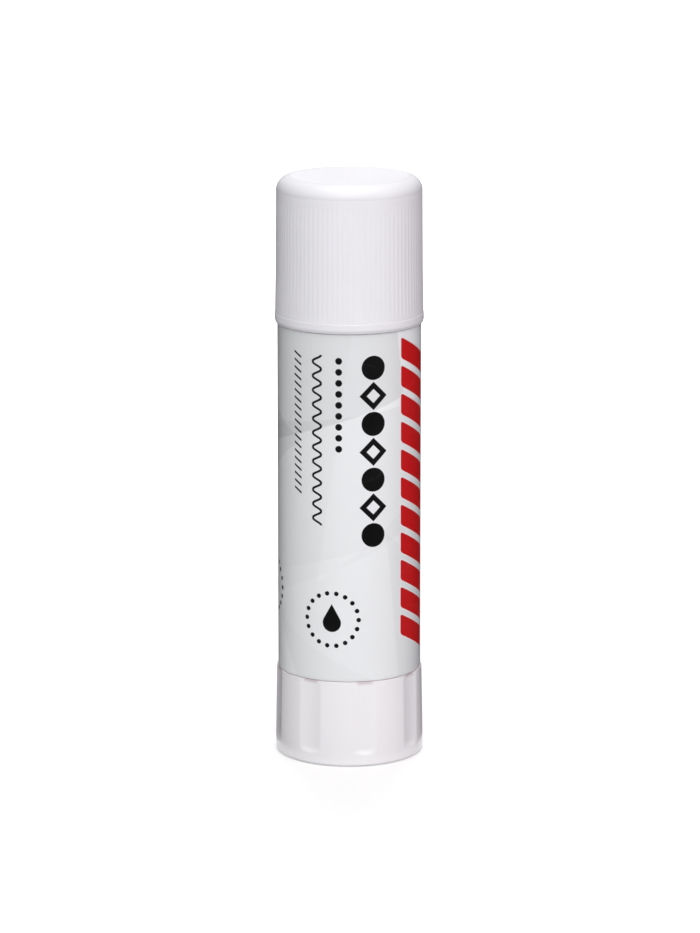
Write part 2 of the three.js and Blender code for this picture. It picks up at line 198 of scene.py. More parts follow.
def open_socket(tree, name, direction, kind):
    tree.interface.new_socket(name, in_out=direction, socket_type="NodeSocket" + kind)


def shaping_tree(name, sizes):
    """A Geometry Nodes tree with one named input for each size, and the place of each point."""
    tree = bpy.data.node_groups.new(name, "GeometryNodeTree")
    open_socket(tree, "Geometry", "OUTPUT", "Geometry")
    open_socket(tree, "Geometry", "INPUT", "Geometry")
    open_socket(tree, "Material", "INPUT", "Material")
    for size in sizes:
        open_socket(tree, size, "INPUT", "Float")
    given = add_node(tree, "NodeGroupInput").outputs
    place = add_node(tree, "GeometryNodeInputPosition").outputs[0]
    x, y, z = add_node(tree, "ShaderNodeSeparateXYZ", place).outputs
    angle = calc(tree, "ARCTAN2", x, times(tree, y, -1.0))
    skin = add_node(tree, "GeometryNodeInputNamedAttribute", "skin", data_type="FLOAT").outputs[0]
    return tree, given, x, y, z, angle, skin


def push_out(tree, given, x, y, distance):
    """Ends a tree: each point moves away from the axis by a distance, and gets its finish."""
    flat = add_node(tree, "ShaderNodeCombineXYZ", x, y, 0.0).outputs[0]
    away = vector_calc(tree, "NORMALIZE", flat)
    shift = vector_calc(tree, "SCALE", away, None, None, distance)
    moved = add_node(tree, "GeometryNodeSetPosition", given["Geometry"], None, None, shift)
    whole = add_node(tree, "GeometryNodeRealizeInstances", moved.outputs[0])
    finished = add_node(
        tree, "GeometryNodeSetMaterial", whole.outputs[0], None, given["Material"]
    )
    add_node(tree, "NodeGroupOutput", finished.outputs[0])
    return tree


def settle(piece):
    """Applies a piece's modifiers, and leaves it as a plain mesh."""
    bpy.context.view_layer.update()
    shaped = piece.evaluated_get(bpy.context.evaluated_depsgraph_get())
    rough = piece.data
    piece.data = bpy.data.meshes.new_from_object(shaped)
    piece.modifiers.clear()
    bpy.data.meshes.remove(rough)


def press(piece, tree, material, **sizes):
    """Runs a tree on a piece, with its lengths in millimetres, and keeps the result."""
    without_unit = ("count", "first_angle", "lean")
    piece.data.materials.append(material)
    modifier = piece.modifiers.new(tree.name, "NODES")
    modifier.node_group = tree
    for socket in tree.interface.items_tree:
        size = socket.name.replace(" ", "_").lower()
        if socket.in_out == "INPUT" and size == "material":
            modifier[socket.identifier] = material
        elif socket.in_out == "INPUT" and size in sizes:
            modifier[socket.identifier] = sizes[size] * (1.0 if size in without_unit else MM)
    settle(piece)


def off_nearest(tree, given, angle):
    """Angle from the nearest of several like forms round the axis."""
    half_pitch = calc(tree, "DIVIDE", math.pi, given["Count"])
    from_first = minus(tree, angle, given["First angle"])
    return calc(tree, "WRAP", from_first, half_pitch, times(tree, half_pitch, -1.0))


def rib_tree():
    """Ribs, valleys or grooves at even steps round the axis: a negative depth presses inwards."""
    tree, given, x, y, z, angle, skin = shaping_tree(
        "ribs round the axis",
        ("Count", "First angle", "At radius", "Width", "Flank", "Depth", "Bottom", "Top",
         "Run out"),
    )
    aside = off_nearest(tree, given, angle)
    along_wall = times(tree, calc(tree, "ABSOLUTE", aside), given["At radius"])
    half_width = times(tree, given["Width"], 0.5)
    half_flank = times(tree, given["Flank"], 0.5)
    crest_edge = minus(tree, half_width, half_flank)
    foot_edge = calc(tree, "ADD", half_width, half_flank)
    section = smooth_step(tree, along_wall, crest_edge, foot_edge, 1.0, 0.0)
    low = calc(tree, "ADD", given["Bottom"], given["Run out"])
    above = smooth_step(tree, z, given["Bottom"], low)
    high = minus(tree, given["Top"], given["Run out"])
    below = smooth_step(tree, z, high, given["Top"], 1.0, 0.0)
    length = times(tree, above, below)
    pressed = larger(tree, skin, 0.0)
    amount = times(tree, pressed, times(tree, section, length))
    return push_out(tree, given, x, y, times(tree, amount, given["Depth"]))


def finish_group(name, outputs):
    """A shader group that works on a place in the piece's own coordinates."""
    tree = bpy.data.node_groups.new(name, "ShaderNodeTree")
    open_socket(tree, "Place", "INPUT", "Vector")
    for output in outputs:
        open_socket(tree, output, "OUTPUT", "Float")
    place = add_node(tree, "NodeGroupInput").outputs[0]
    return tree, place, add_node(tree, "NodeGroupOutput")


def noise(tree, place, scale, detail, roughness=0.5, stretch=(1, 1, 1)):
    stretched = add_node(tree, "ShaderNodeMapping", place, None, None, stretch).outputs[0]
    made = add_node(tree, "ShaderNodeTexNoise", stretched)
    feed_named(tree, made, {"Scale": scale, "Detail": detail, "Roughness": roughness})
    return made.outputs[0]


def moulding_marks():
    """What the mould leaves: soft clouds in the colour, streaks along the flow, a fine grain."""
    tree, place, out = finish_group("moulding marks", ("Clouds", "Streaks", "Grain"))
    feed_named(tree, out, {
        "Clouds": noise(tree, place, 95, 2.0),
        "Streaks": noise(tree, place, 420, 3.0, 0.6, (1, 1, 0.12)),
        "Grain": noise(tree, place, 5200, 4.0, 0.65),
    })
    return tree


def handling_marks():
    """What hands and pencil cases leave: straight hair scratches in every direction, and dull
    patches. A scratch runs where a plane through a cell's seed cuts the surface."""
    tree, place, out = finish_group("handling marks", ("Scratches", "Rubbed"))
    patches = smooth_step(tree, noise(tree, place, 90, 2.0), 0.46, 0.68)
    scratches = 0.0
    for cells, hair in ((110, 0.022), (190, 0.014)):
        cell = add_node(tree, "ShaderNodeTexVoronoi", place)
        feed_named(tree, cell, {"Scale": cells})
        from_seed = vector_calc(tree, "SUBTRACT", place, cell.outputs["Position"])
        tilt = vector_calc(tree, "MULTIPLY_ADD", cell.outputs["Color"], (2, 2, 2), (-1, -1, -1))
        across = vector_calc(tree, "DOT_PRODUCT", from_seed, vector_calc(tree, "NORMALIZE", tilt))
        hairs = smooth_step(tree, calc(tree, "ABSOLUTE", across), 0.0, hair * MM, 1.0, 0.0)
        faded = smooth_step(tree, cell.outputs["Distance"], 0.35, 0.6, 1.0, 0.0)
        scratches = larger(tree, times(tree, hairs, faded), scratches)
    feed_named(tree, out, {"Scratches": times(tree, scratches, patches), "Rubbed": patches})
    return tree


def settled_dust():
    """Specks that settle on faces that look up."""
    tree, place, out = finish_group("settled dust", ("Dust",))
    facing = add_node(tree, "ShaderNodeTexCoord").outputs["Normal"]
    up = add_node(tree, "ShaderNodeSeparateXYZ", facing).outputs[2]
    specks = smooth_step(tree, noise(tree, place, 2600, 2.0, 0.7), 0.64, 0.72)
    feed_named(tree, out, {"Dust": times(tree, smooth_step(tree, up, 0.3, 1.0), specks)})
    return tree


def use_group(tree, group, place):
    return add_node(tree, "ShaderNodeGroup", place, node_tree=group).outputs


def blend(tree, share, first, second):
    """Mixes two colours. The mix node keeps its colour sockets behind those for other types."""
    mix = add_node(tree, "ShaderNodeMix", share, data_type="RGBA")
    feed(tree, mix.inputs[6], first)
    feed(tree, mix.inputs[7], second)
    return mix.outputs[2]


def tinted(colour, factor):
    return (*(channel * factor for channel in colour[:3]), 1.0)


moulding = moulding_marks()
handling = handling_marks()
dust = settled_dust()


def own_place(tree):
    return add_node(tree, "ShaderNodeTexCoord").outputs["Object"]


def new_finish(name):
    material = bpy.data.materials.new(name)
    material.use_nodes = True
    return material, material.node_tree, material.node_tree.nodes["Principled BSDF"]


def add_relief(tree, shader, height, strength, depth):
    """Bumps the surface by a height, to a depth in millimetres."""
    bump = add_node(tree, "ShaderNodeBump")
    feed_named(tree, bump, {"Strength": strength, "Distance": depth * MM, "Height": height})
    feed(tree, shader.inputs["Normal"], bump.outputs[0])


def moulded_plastic(name, colour, roughness, grain_depth, wear_and_edge_shade=1.0, see_into=0.0):
    """Moulded plastic: its colour drifts a little, its rounded edges are darker, as painted shade
    that dims their highlights and as rubbing, and its grain is fine.
    """
    material, tree, shader = new_finish(name)
    place = own_place(tree)
    marks = use_group(tree, moulding, place)
    hands = use_group(tree, handling, place)
    specks = use_group(tree, dust, place)
    edge = add_node(tree, "ShaderNodeAttribute", attribute_name="edge").outputs["Fac"]
    body = blend(tree, marks["Clouds"], tinted(colour, 0.975), tinted(colour, 1.02))
    body = blend(tree, times(tree, marks["Streaks"], 0.35), body, tinted(colour, 0.985))
    # Rounded edges painted darker: painted shade on their highlights, partly rubbing
    body = blend(tree, times(tree, edge, 0.7 * wear_and_edge_shade), body, tinted(colour, 0.88))
    scratched = times(tree, hands["Scratches"], 0.4 * wear_and_edge_shade)
    body = blend(tree, scratched, body, tinted(colour, 0.8))
    dusty = times(tree, specks["Dust"], 0.25 * wear_and_edge_shade)
    body = blend(tree, dusty, body, (0.62, 0.60, 0.57, 1))
    dulled = calc(tree, "MULTIPLY_ADD", hands["Rubbed"], 0.03 * wear_and_edge_shade, roughness)
    dulled = calc(tree, "MULTIPLY_ADD", hands["Scratches"], 0.2 * wear_and_edge_shade, dulled)
    dulled = calc(tree, "MULTIPLY_ADD", marks["Clouds"], 0.05, dulled)
    feed_named(tree, shader, {"Base Color": body, "Roughness": dulled, "IOR": 1.49})
    height = calc(tree, "MULTIPLY_ADD", marks["Streaks"], 0.5, marks["Grain"])
    height = calc(tree, "MULTIPLY_ADD", hands["Scratches"], -0.6 * wear_and_edge_shade, height)
    add_relief(tree, shader, height, 0.5, grain_depth)
    if see_into:
        feed_named(tree, shader, {
            "Subsurface Weight": see_into, "Subsurface Radius": (1.0, 0.9, 0.85),
            "Subsurface Scale": 0.8 * MM,
        })
    return material


barrel_bottom, barrel_top = (corner.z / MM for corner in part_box("barrel"))
barrel_radius = 12.7
neck_radius = 11.8
neck_bead = 0.25
neck_bead_foot, neck_bead_top = 81.9, 83.1
bore_radius = 10.8
spindle_hole = 3.3
floor_top = 17.55
floor_underside = 16.15
lower_shoulder = 15.95
upper_shoulder = 79.74
tail_radius = 11.2
tail_bead = 0.5
tail_bead_foot, tail_bead_top = 8.4, 10.1
tail_bore = 10.2
guide_ribs = {"count": 4, "first_angle": math.pi / 4}
guide_rib_depth = 0.5
guide_rib_width = 1.2

barrel_outline = soften(
    [
        (spindle_hole, floor_underside, 0.15, 0),
        (tail_bore, floor_underside, 0.4, 0),
        (tail_bore, barrel_bottom, 0.2, 0),
        (tail_radius, barrel_bottom, 0.25, 0),
        (tail_radius, tail_bead_foot, 0.3, 0),
        (tail_radius + tail_bead, tail_bead_foot + 0.5, 0.2, 0),
        (tail_radius + tail_bead, tail_bead_top, 0.12, 0),
        (tail_radius, tail_bead_top, 0.12, 0),
        (tail_radius, lower_shoulder, 0.2, 0),
        (barrel_radius, lower_shoulder, 0.1, 0),
        (barrel_radius, upper_shoulder, 0.1, 0),
        (neck_radius, upper_shoulder, 0.2, 0),
        (neck_radius, neck_bead_foot, 0.2, 0),
        (neck_radius + neck_bead, neck_bead_foot + 0.35, 0.25, 0),
        (neck_radius + neck_bead, neck_bead_top - 0.35, 0.25, 0),
        (neck_radius, neck_bead_top, 0.2, 0),
        (neck_radius, barrel_top, 0.35, 0),
        (bore_radius, barrel_top, 0.35, 1),
        (bore_radius, floor_top, 0.4, 1),
        (spindle_hole, floor_top, 0.15, 0),
    ],
    closed=True,
)
barrel_plastic = moulded_plastic("white barrel plastic", (0.86, 0.85, 0.87), 0.36, 0.006, 0.6)
barrel_piece = turned("barrel_body", barrel_outline, True, 320)
press(
    barrel_piece, rib_tree(), barrel_plastic, **guide_ribs,
    at_radius=bore_radius, width=guide_rib_width, flank=0.3, depth=-guide_rib_depth,
    bottom=floor_top - 0.55, top=barrel_top - 0.8, run_out=0.6,
)
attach(barrel_piece, "barrel")
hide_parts("barrel")


# Spindle
# The screw that lifts the glue, moulded in one with its flange, which rests on the barrel's floor,
# and its square tail, which is pressed into the knob. Its thread is left-handed and coarse.

thread_lead = 6.0
thread_core = 2.2
thread_crest = 3.2
thread_crest_width = 1.2
thread_flank = 0.8
tail_half_width = 2.0
tail_top = 16.0
journal_radius = 3.0
flange_radius = 5.5
flange_underside = 17.85
flange_top = 19.05
spindle_bottom, spindle_top = (corner.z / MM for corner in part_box("spindle"))


def thread_tree():
    """A left-handed thread: the height of its crest falls by one lead in one turn."""
    tree, given, x, y, z, angle, skin = shaping_tree(
        "left-handed thread", ("Lead", "Crest width", "Flank", "Depth")
    )
    turns = minus(tree, calc(tree, "DIVIDE", angle, FULL_TURN), 0.25)
    unrolled = calc(tree, "MULTIPLY_ADD", turns, given["Lead"], z)
    half_lead = times(tree, given["Lead"], 0.5)
    from_crest = calc(tree, "WRAP", unrolled, half_lead, times(tree, half_lead, -1.0))
    half_crest = times(tree, given["Crest width"], 0.5)
    foot = calc(tree, "ADD", half_crest, given["Flank"])
    section = smooth_step(tree, calc(tree, "ABSOLUTE", from_crest), half_crest, foot, 1.0, 0.0)
    threaded = larger(tree, times(tree, skin, -1.0), 0.0)
    amount = times(tree, section, threaded)
    return push_out(tree, given, x, y, times(tree, amount, given["Depth"]))


def squared(radius, angle):
    """Bends a round outline into a square with soft corners."""
    corner_power = 8
    across = abs(math.cos(angle)) ** corner_power + abs(math.sin(angle)) ** corner_power
    return radius / across ** (1 / corner_power)


def square_tail(radius, height, angle):
    return squared(radius, angle) if height < tail_top + 0.05 else radius


spindle_outline = soften(
    [
        (0, spindle_bottom, 0, 0),
        (tail_half_width, spindle_bottom, 0.3, 0),
        (tail_half_width, tail_top, 0, 0),
        (journal_radius, tail_top + 0.15, 0.1, 0),
        (journal_radius, flange_underside, 0.1, 0),
        (flange_radius, flange_underside, 0.25, 0),
        (flange_radius, flange_top, 0.25, 0),
        (thread_core, flange_top, 0, -0.4),
        (thread_core, flange_top + 0.75, 0, -1),
        (thread_core, spindle_top - 1.3, 0, -1),
        (thread_core - 0.2, spindle_top, 0.4, 0),
        (0, spindle_top, 0, 0),
    ],
    closed=False,
    longest_run=0.22,
)
spindle_plastic = moulded_plastic(
    "natural spindle plastic", (0.84, 0.83, 0.78), 0.4, 0.01, wear_and_edge_shade=0.3, see_into=0.15
)
spindle_piece = turned("lifting_screw", spindle_outline, False, 72, square_tail)
press(
    spindle_piece, thread_tree(), spindle_plastic, lead=thread_lead,
    crest_width=thread_crest_width, flank=thread_flank, depth=thread_crest - thread_core,
)
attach(spindle_piece, "knob")
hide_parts("spindle")


# Knob
# A white moulded cup that snaps over the barrel's tail and holds the spindle in its hub. Eight
# shallow flutes give the fingers a grip: each is open at the top rim and slopes out above the foot.

knob_bottom, knob_top = (corner.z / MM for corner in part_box("knob"))
knob_foot_radius = 13.46
knob_top_radius = 13.22
knob_bore = 12.0
knob_bead = 0.5
knob_bead_foot, knob_bead_top = 10.4, 11.9
knob_floor = 2.0
foot_ring_bore = 10.86
foot_recess = 0.6
gate_nub = 0.8
foot_band = 2.2
flutes = 8
first_flute = 12.4
flute_radius = 20.0
flute_depth = 0.29
flute_run_out = 0.65
hub_radius = 4.6
socket_half_width = 2.3
web_end_radius = 9.9
web_top = 6.0
web_thickness = 1.0
webs_count = 4
first_web = 45


def flute_tree():
    """Flutes scooped by a round cutter that leans with the knob's side and rises out of it at the
    foot. The depth of the cut at a point follows from where its spoke meets the cutter's circle."""
    tree, given, x, y, z, angle, skin = shaping_tree(
        "scooped flutes",
        ("Count", "First angle", "Foot radius", "Lean", "Foot band", "Cutter radius", "Depth",
         "Run out", "Softness"),
    )
    aside = off_nearest(tree, given, angle)
    above_band = minus(tree, z, given["Foot band"])
    narrowed = times(tree, larger(tree, above_band, 0.0), given["Lean"])
    side = minus(tree, given["Foot radius"], narrowed)
    from_floor = minus(tree, 1.0, calc(tree, "DIVIDE", above_band, given["Run out"]))
    rising = calc(tree, "SMOOTH_MAX", from_floor, 0.0, 0.15)
    lifted = times(tree, rising, given["Depth"])
    cutter = minus(tree, given["Cutter radius"], lifted)
    centre = calc(tree, "ADD", minus(tree, side, given["Depth"]), given["Cutter radius"])
    beside = times(tree, centre, calc(tree, "SINE", aside))
    cutter_squared = times(tree, cutter, cutter)
    inside = minus(tree, cutter_squared, times(tree, beside, beside))
    half_chord = calc(tree, "SQRT", larger(tree, inside, 0.0))
    along = times(tree, centre, calc(tree, "COSINE", aside))
    scoop = minus(tree, along, half_chord)
    kept = calc(tree, "SMOOTH_MIN", side, scoop, given["Softness"])
    pressed = larger(tree, skin, 0.0)
    cut = times(tree, minus(tree, kept, side), pressed)
    return push_out(tree, given, x, y, cut)


def square_socket(radius, height, angle):
    """The socket in the hub is square: only its own wall is narrower than the hub."""
    in_socket = radius < socket_half_width + 0.1 and height > knob_floor - 0.1
    return squared(radius, angle) if in_socket else radius


def upright_plates(name, count, first, inner, outer, bottom, top, thickness, slope=0.0):
    """Thin radial plates with bevelled edges, at even steps round the axis from a first angle in
    degrees. Their lower edges may slope up to their outer ends."""
    corners = [(inner, bottom), (outer, bottom + slope), (outer, top), (inner, top)]
    rim = [(i, (i + 1) % 4, (i + 1) % 4 + 4, i + 4) for i in range(4)]
    plates = []
    for place in range(count):
        angle = math.radians(first + 360 / count * place)
        points = []
        for side in (-thickness / 2, thickness / 2):
            for radius, height in corners:
                along = Vector((math.sin(angle), -math.cos(angle), 0)) * radius
                across = Vector((math.cos(angle), math.sin(angle), 0)) * side
                points.append(tuple((along + across + Vector((0, 0, height))) * MM))
        plates.append(meshed(name, points, [(3, 2, 1, 0), (4, 5, 6, 7), *rim]))
        bevel = plates[-1].modifiers.new("soft edges", "BEVEL")
        bevel.width = 0.12 * MM
        bevel.segments = 2
    return plates


def join_into(piece, parts):
    """Joins moulded-on parts into a piece, with their modifiers applied."""
    for part in parts:
        settle(part)
        part.data.materials.clear()
        part.data.materials.append(piece.data.materials[0])
    with bpy.context.temp_override(active_object=piece, selected_editable_objects=[piece, *parts]):
        bpy.ops.object.join()


def to_middle(tree, x, y):
    return calc(tree, "SQRT", calc(tree, "MULTIPLY_ADD", x, x, times(tree, y, y)))


knob_outline = soften(
    [
        (0, foot_recess - 0.2, 0, 0),
        (gate_nub, foot_recess - 0.2, 0.1, 0),
        (gate_nub + 0.2, foot_recess, 0.1, 0),
        (foot_ring_bore, foot_recess, 0.3, 0),
        (foot_ring_bore, knob_bottom, 0.2, 0),
        (knob_foot_radius, knob_bottom, 0.45, 0),
        (knob_foot_radius, foot_band, 0.3, 1),
        (knob_top_radius, knob_top, 0.18, 1),
        (knob_bore, knob_top, 0.15, 0),
        (knob_bore, knob_bead_top, 0.1, 0),
        (knob_bore - knob_bead, knob_bead_top - 0.5, 0.15, 0),
        (knob_bore - knob_bead, knob_bead_foot, 0.1, 0),
        (knob_bore, knob_bead_foot, 0.1, 0),
        (knob_bore, knob_floor, 0.4, 0),
        (hub_radius, knob_floor, 0.4, 0),
        (hub_radius, knob_top, 0.3, 0),
        (socket_half_width, knob_top, 0.15, 0),
        (socket_half_width, knob_floor, 0.1, 0),
        (0, knob_floor, 0, 0),
    ],
    closed=False,
    longest_run=0.5,
)
knob_plastic = moulded_plastic("white knob plastic", (0.91, 0.905, 0.925), 0.28, 0.003)
knob_tree = knob_plastic.node_tree
knob_shader = knob_tree.nodes["Principled BSDF"]
feed_named(knob_tree, knob_shader, {"Coat Weight": 0.6, "Coat Roughness": 0.28})

# Painted pinkish shade in the open ends of the flutes, where the label's edge overhangs them, and a
# painted shade along the lip that dims its highlight
knob_place = own_place(knob_tree)
knob_x, knob_y, knob_z = add_node(knob_tree, "ShaderNodeSeparateXYZ", knob_place).outputs
from_axis = to_middle(knob_tree, knob_x, knob_y)
deep, shallow = (knob_top_radius - 0.24) * MM, (knob_top_radius - 0.07) * MM
in_flute = smooth_step(knob_tree, from_axis, deep, shallow, 1.0, 0.0)
near_rim = smooth_step(knob_tree, knob_z, (knob_top - 0.9) * MM, (knob_top - 0.1) * MM)
notch_shade = times(knob_tree, times(knob_tree, in_flute, near_rim), 0.7)
lip_foot, lip_top = (knob_top - 0.16) * MM, (knob_top - 0.06) * MM
lip_shade = smooth_step(knob_tree, knob_z, lip_foot, lip_top, 0.0, 0.4)
notch_and_lip_shade = larger(knob_tree, notch_shade, lip_shade)
knob_colour = knob_shader.inputs["Base Color"]
colour_before_shade = knob_colour.links[0].from_socket
# The knob's colour darkens to pinkish grey there: painted shade
feed(knob_tree, knob_colour, blend(knob_tree, notch_and_lip_shade, colour_before_shade, (0.56, 0.46, 0.48, 1)))
knob_piece = turned("fluted_knob", knob_outline, False, 480, square_socket)
press(
    knob_piece, flute_tree(), knob_plastic,
    count=flutes, first_angle=math.radians(first_flute), foot_radius=knob_foot_radius,
    lean=(knob_foot_radius - knob_top_radius) / (knob_top - foot_band), foot_band=foot_band,
    cutter_radius=flute_radius, depth=flute_depth, run_out=flute_run_out, softness=0.1,
)
webs = upright_plates(
    "web", webs_count, first_web, hub_radius - 0.2, web_end_radius, knob_floor - 0.2,
    web_top, web_thickness,
)
join_into(knob_piece, webs)
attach(knob_piece, "knob")
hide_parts("knob")


# Carrier
# The cup that holds the foot of the glue. Its sleeve has the thread that runs on the spindle, and
# four notches in its rim slide on the barrel's guide ribs. Fins in the cup keep the glue in place.

carrier_bottom, carrier_top = (corner.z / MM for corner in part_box("carrier"))
cup_radius = 10.5
cup_bore = 9.2
cup_floor_bottom = 27.35
cup_floor_top = 28.55
sleeve_radius = 5.0
sleeve_bore = thread_core + 0.3
notch_width = guide_rib_width + 0.6
gusset_reach = 3.6
gusset_drop = 5.0
gusset_thickness = 1.0
gussets_count = 4
fin_reach = 1.4
fin_height = 4.0
fin_thickness = 0.8
fins_count = 4

carrier_outline = soften(
    [
        (sleeve_bore, carrier_bottom, 0.1, 0),
        (sleeve_radius, carrier_bottom, 0.3, 0),
        (sleeve_radius, cup_floor_bottom, 0.3, 0),
        (cup_radius, cup_floor_bottom, 0.3, 1),
        (cup_radius, carrier_top, 0.2, 1),
        (cup_bore, carrier_top, 0.2, 0),
        (cup_bore, cup_floor_top, 0.3, 0),
        (sleeve_bore, cup_floor_top, 0.1, 0),
        (sleeve_bore, cup_floor_top - 0.5, 0, -1),
        (sleeve_bore, carrier_bottom + 0.5, 0, -1),
    ],
    closed=True,
    longest_run=0.3,
)
carrier_plastic = moulded_plastic("white carrier plastic", (0.86, 0.86, 0.84), 0.42, 0.01, 0.3)
carrier_piece = turned("glue_carrier", carrier_outline, True, 240)
press(
    carrier_piece, rib_tree(), carrier_plastic, **guide_ribs,
    at_radius=cup_radius, width=notch_width, flank=0.15, depth=-guide_rib_depth,
    bottom=cup_floor_bottom - 2, top=carrier_top + 2, run_out=0.5,
)
press(
    carrier_piece, thread_tree(), carrier_plastic, lead=thread_lead,
    crest_width=thread_crest_width + 0.6, flank=thread_flank, depth=thread_crest - thread_core,
)
gussets = upright_plates(
    "gusset", gussets_count, 0, sleeve_radius - 0.2, sleeve_radius + gusset_reach,
    cup_floor_bottom - gusset_drop, cup_floor_bottom + 0.2, gusset_thickness,
    slope=gusset_drop - 0.2,
)
fins = upright_plates(
    "fin", fins_count, 0, cup_bore - fin_reach, cup_bore + 0.2, cup_floor_top - 0.2,
    cup_floor_top + fin_height, fin_thickness,
)
join_into(carrier_piece, gussets + fins)
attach(carrier_piece, "carrier")
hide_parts("carrier")


# Glue
# A waxy off-white column, cast in the carrier's cup and the barrel's bore, with a blind hole over
# the spindle. Its sides keep the print of the guide ribs, and its top is flat with a soft edge.

glue_bottom, glue_top = (corner.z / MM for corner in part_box("glue"))
glue_radius = 10.5
glue_hole = 3.5
plug_radius = 8.9

glue_outline = soften(
    [
        (0, spindle_top + 1.0, 0, 0),
        (glue_hole, spindle_top + 1.0, 0.4, 0),
        (glue_hole, glue_bottom, 0.3, 0),
        (plug_radius, glue_bottom, 0.4, 0),
        (plug_radius, carrier_top + 0.3, 0.2, 0),
        (glue_radius, carrier_top + 0.3, 0.2, 1),
        (glue_radius, glue_top, 1.0, 1),
        (0, glue_top, 0, 0),
    ],
    closed=False,
)


def wax(name, colour):
    """Glue paste: waxy and a little translucent, with smears along the stroke and tiny pits."""
    material, tree, shader = new_finish(name)
    place = own_place(tree)
    clouds = noise(tree, place, 160, 3.0, 0.6)
    smears = noise(tree, place, 260, 4.0, 0.6, (1, 5, 1))
    pits = smooth_step(tree, noise(tree, place, 1500, 2.0), 0.33, 0.4, 1.0, 0.0)
    body = blend(tree, clouds, tinted(colour, 0.96), tinted(colour, 1.02))
    body = blend(tree, times(tree, pits, 0.4), body, tinted(colour, 0.85))
    feed_named(tree, shader, {
        "Base Color": body, "Roughness": calc(tree, "MULTIPLY_ADD", smears, 0.25, 0.38),
        "Subsurface Weight": 0.35, "Subsurface Radius": (1.0, 0.85, 0.6),
        "Subsurface Scale": 1.5 * MM,
    })
    add_relief(tree, shader, minus(tree, smears, pits), 0.6, 0.05)
    return material


glue_paste = wax("glue paste", (0.88, 0.86, 0.77))
glue_piece = turned("glue_column", glue_outline, False, 240)
press(
    glue_piece, rib_tree(), glue_paste, **guide_ribs,
    at_radius=glue_radius, width=notch_width, flank=0.2, depth=-guide_rib_depth,
    bottom=glue_bottom - 2, top=glue_top + 2, run_out=0.5,
)
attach(glue_piece, "carrier")
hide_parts("glue")


# Label
# A printed satin film, wrapped once round the barrel with its two ends lapped at the back. Its
# print is silver-grey with faint facets, a red band of slanted bars, and black rows of shapes.

label_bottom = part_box("label")[0].z / MM - 0.38
label_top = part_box("label")[1].z / MM + 0.36
label_radius = 12.98
film_thickness = 0.07
lap_width = 2.6
lap_angle = lap_width / label_radius


def film_strip(name, columns, rows):
    """The film as one sheet, whose first end dips under its last end. Its print map counts
    centimetres: across from the front, and up from the label's lower edge."""
    dip = 0.085
    points, print_map, faces = [], [], []
    length = label_top - label_bottom
    heights = [0.0, 0.05, *(length * row / rows for row in range(1, rows)), length - 0.05, length]
    rows = len(heights) - 1
    for column in range(columns + 1):
        angle = -math.pi - lap_angle + (FULL_TURN + lap_angle) * column / columns
        under = min(max((-math.pi - angle) / lap_angle + 1.0, 0.0), 1.0)
        radius = label_radius - dip * under * under * (3 - 2 * under)
        for height in heights:
            above = (label_bottom + height) * MM
            points.append((radius * math.sin(angle) * MM, -radius * math.cos(angle) * MM, above))
            print_map.append((angle * label_radius / 10, height / 10))
    for column in range(columns):
        for row in range(rows):
            low = column * (rows + 1) + row
            faces.append((low, low + rows + 1, low + rows + 2, low + 1))
    film = meshed(name, points, faces)
    uv = film.data.uv_layers.new(name="print")
    uv.data.foreach_set("uv", [c for face in faces for point in face for c in print_map[point]])
    film.data.shade_smooth()
    wall = film.modifiers.new("film thickness", "SOLIDIFY")
    wall.thickness = film_thickness * MM
    wall.offset = -1.0
    return film


def inked(tree, distance, softness=0.04):
    """1 inside an outline and 0 outside it, from the distance to it in millimetres."""
    return smooth_step(tree, distance, -softness, softness, 1.0, 0.0)


def to_bar(tree, x, y, half_width, half_height, corner):
    """Distance to a bar with rounded corners whose middle is at 0, 0."""
    over_x = minus(tree, calc(tree, "ABSOLUTE", x), half_width - corner)
    over_y = minus(tree, calc(tree, "ABSOLUTE", y), half_height - corner)
    beyond = (larger(tree, over, 0.0) for over in (over_x, over_y))
    outside = to_middle(tree, *beyond)
    within = calc(tree, "MINIMUM", larger(tree, over_x, over_y), 0.0)
    return minus(tree, calc(tree, "ADD", outside, within), corner)


def to_stroke(tree, distance, width):
    """Distance to a stroke of a given width that follows an outline."""
    return minus(tree, calc(tree, "ABSOLUTE", distance), width / 2)


def within_limits(tree, value, low, high):
    above = calc(tree, "GREATER_THAN", value, low)
    return times(tree, above, calc(tree, "LESS_THAN", value, high))


def repeated(tree, up, start, pitch):
    """Height above the middle of the nearest repeat of a shape."""
    return calc(tree, "WRAP", minus(tree, up, start + pitch / 2), pitch / 2, -pitch / 2)


def ink_row(tree, distance, up, low, high):
    return times(tree, inked(tree, distance), within_limits(tree, up, low, high))


def bold_column(tree, x, up, first, last, pitch, size):
    """An upright row of solid discs with thick open diamonds between them."""
    half_diamond, stroke, margin = 0.62 * size, 0.42 * size, size + 0.1
    disc_y = repeated(tree, up, first - pitch, 2 * pitch)
    to_disc = minus(tree, to_middle(tree, x, disc_y), size)
    diamond_y = repeated(tree, up, first, 2 * pitch)
    spread = calc(tree, "ADD", calc(tree, "ABSOLUTE", x), calc(tree, "ABSOLUTE", diamond_y))
    to_outline = calc(tree, "MULTIPLY_ADD", spread, math.sqrt(0.5), -half_diamond)
    to_shape = calc(tree, "MINIMUM", to_disc, to_stroke(tree, to_outline, stroke))
    return ink_row(tree, to_shape, up, first - margin, last + margin)


def dot_row(tree, x, up, start, count, pitch, size):
    to_dot = minus(tree, to_middle(tree, x, repeated(tree, up, start, pitch)), size)
    return ink_row(tree, to_dot, up, start, start + count * pitch)


